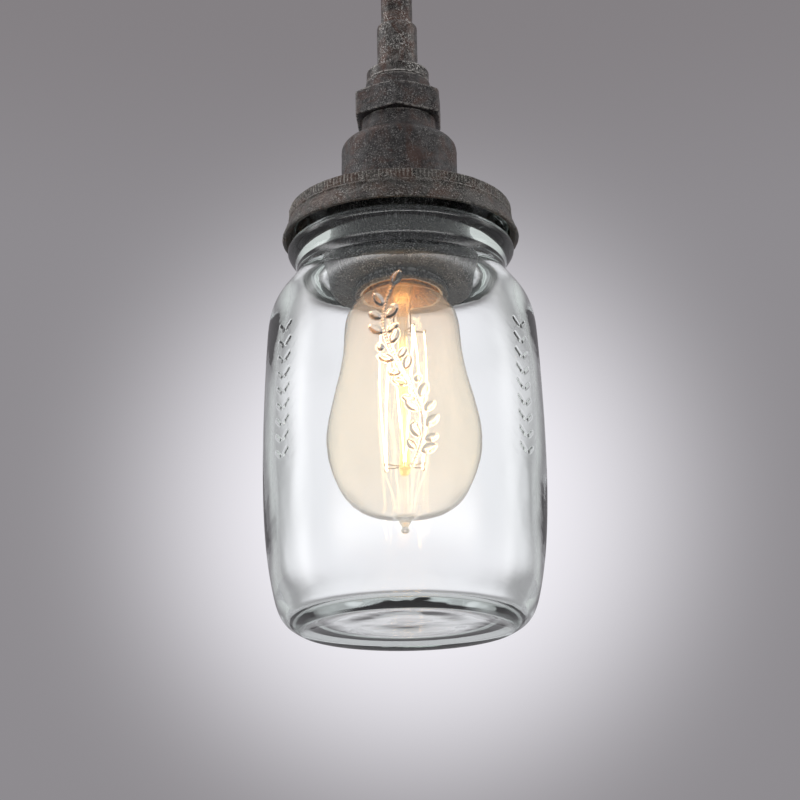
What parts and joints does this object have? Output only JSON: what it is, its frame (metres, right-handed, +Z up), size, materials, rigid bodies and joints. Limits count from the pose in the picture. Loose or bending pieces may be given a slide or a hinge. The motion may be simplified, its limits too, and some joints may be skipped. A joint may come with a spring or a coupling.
{
  "type": "mini pendant light",
  "caption": "Stem-hung mini pendant light with a screw-on clear jar shade, aged iron fittings, ceiling swivel and a tapered filament lamp.",
  "frame": {"origin": "middle of the ceiling box, on the ceiling plane, on the pendant's axis", "axes": "+Z up towards the ceiling, X along the mounting strap and its two box slots, the pendant hangs down -Z"},
  "size_m": [0.127, 0.127, 0.4781],
  "materials": {
    "aged_iron": "aged black iron, speckled and worn at the edges",
    "aged_steel": "aged grey steel with rust-brown mottling",
    "lid_inner": "dark grey textured paint",
    "zinc_steel": "zinc-plated steel",
    "brass": "bright brass",
    "ground_green": "green-dyed steel",
    "spring_steel": "spring steel wire",
    "porcelain": "glazed white porcelain",
    "wire_black": "black insulated wire",
    "connector_orange": "ribbed plastic",
    "seal_rubber": "soft black rubber",
    "nylon": "natural nylon",
    "jar_glass": "clear pressed glass, faintly green at the edges",
    "lamp_glass": "thin clear glass, faintly warm",
    "black_glass": "black glass",
    "solder": "dull solder",
    "filament_wire": "fine wire, glowing when lit"
  },
  "bodies": {
    "ceiling_mount": {"mounting_strap": "zinc_steel", "canopy": "aged_iron", "canopy_studs": "zinc_steel", "stud_nuts": "zinc_steel", "cap_nuts": "aged_iron", "ground_screw": "ground_green", "swivel_cap": "aged_iron", "swivel_cup": "aged_iron", "swivel_locknut": "zinc_steel", "canopy_leads": "wire_black", "wire_connectors": "connector_orange"},
    "seat_ring": {"swivel_seat": "nylon"},
    "pendant": {"swivel_ball": "aged_steel", "stem_tube": "aged_steel", "stem_coupling": "aged_steel", "collar_ring": "aged_steel", "hex_fitting": "aged_iron", "socket_cup": "aged_iron", "threaded_nipple": "zinc_steel", "nipple_nuts": "zinc_steel", "lead_wires": "wire_black", "socket_bracket": "zinc_steel", "bracket_screws": "zinc_steel", "socket_body": "porcelain", "terminal_screws": "brass", "screw_shell": "brass", "contact_spring": "spring_steel", "socket_ring": "lid_inner", "inner_cup": "lid_inner", "lid_disc": "lid_inner", "jar_gasket": "seal_rubber"},
    "contact": {"centre_contact": "brass"},
    "lamp": {"bulb_cap": "brass", "bulb_insulator": "black_glass", "bulb_tip_contact": "solder", "bulb_envelope": "lamp_glass", "bulb_stem": "lamp_glass", "bulb_lead_wires": "filament_wire", "filament_supports": "filament_wire", "filament": "filament_wire"},
    "lid_ring": {"screw_band": "aged_iron"},
    "jar": {"glass_jar": "jar_glass"}
  },
  "joints": [
    {"name": "swivel_turn", "type": "hinge", "parent": "ceiling_mount", "child": "seat_ring", "pos_m": [0, 0, -0.042], "axis": [0, 0, 1], "continuous": true},
    {"name": "swivel_tilt", "type": "hinge", "parent": "seat_ring", "child": "pendant", "pos_m": [0, 0, -0.042], "axis": [1, 0, 0], "range_deg": [-25, 25]},
    {"name": "band_turn", "type": "hinge", "parent": "pendant", "child": "lid_ring", "pos_m": [0, 0, -0.3119], "axis": [0, 0, 1], "range_deg": [0, 270]},
    {"name": "jar_drop", "type": "slide", "parent": "pendant", "child": "jar", "axis": [0, 0, -1], "range_m": [0, 0.00381]},
    {"name": "contact_travel", "type": "slide", "parent": "pendant", "child": "contact", "axis": [0, 0, -1], "range_m": [0, 0.00242], "deforming": ["contact_spring"]},
    {"name": "bulb_turn", "type": "hinge", "parent": "contact", "child": "lamp", "pos_m": [0, 0, -0.3119], "axis": [0, 0, -1], "range_deg": [0, 240]}
  ],
  "couplings": [
    {"joint": "jar_drop", "follows": "band_turn", "m_per_rad": 0.00080851},
    {"joint": "contact_travel", "follows": "bulb_turn", "m_per_rad": 0.00057757}
  ]
}
